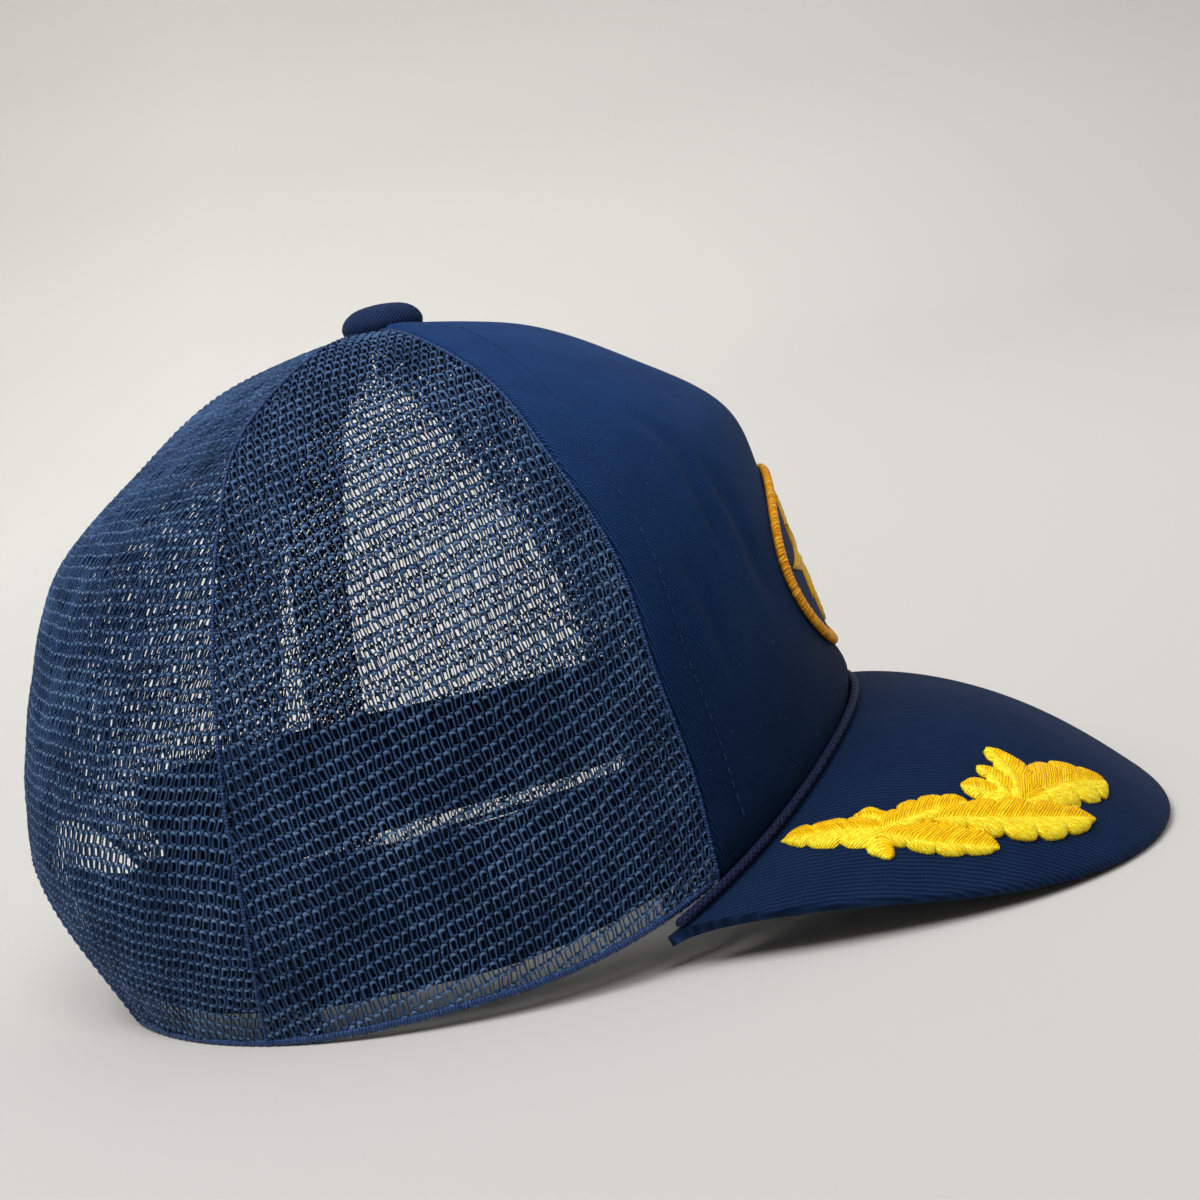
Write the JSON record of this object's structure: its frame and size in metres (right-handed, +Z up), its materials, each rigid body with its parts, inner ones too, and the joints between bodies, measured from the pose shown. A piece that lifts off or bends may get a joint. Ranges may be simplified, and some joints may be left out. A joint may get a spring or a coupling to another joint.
{
  "type": "trucker cap",
  "caption": "Trucker cap with a foam front, open net crown, curved peak, round front badge, leaf sprays on the peak, top button and a strap across the back arch.",
  "frame": {"origin": "centre of the cap's box on the surface that it rests on", "axes": "+X to the wearer's left, -Y the way the peak points, +Z up from the surface"},
  "size_m": [0.167, 0.2648, 0.1497],
  "materials": {
    "foam_knit": "navy rib knit over thin foam",
    "net": "navy polyester net, open holes",
    "band_twill": "navy twill",
    "strap_plastic": "matt navy",
    "peak_cloth": "navy knit over board",
    "rope_braid": "braided cord, slight sheen",
    "gold_thread": "satin stitch, sheen",
    "border_thread": "merrowed edge thread",
    "patch_twill": "navy twill"
  },
  "bodies": {
    "root": {"front_panel": "foam_knit", "side_mesh_left": "net", "side_mesh_right": "net", "back_mesh_left": "net", "back_mesh_right": "net", "front_seam_strip_left": "net", "front_seam_strip_right": "net", "side_seam_strip_left": "net", "side_seam_strip_right": "net", "back_seam_strip": "net", "top_button": "foam_knit", "sweatband": "band_twill", "back_strap": "strap_plastic", "peak": "peak_cloth", "peak_rope": "rope_braid", "leaf_spray_left": "gold_thread", "leaf_spray_right": "gold_thread", "patch_ground": "patch_twill", "patch_border": "border_thread", "patch_motif": "border_thread"}
  },
  "joints": []
}
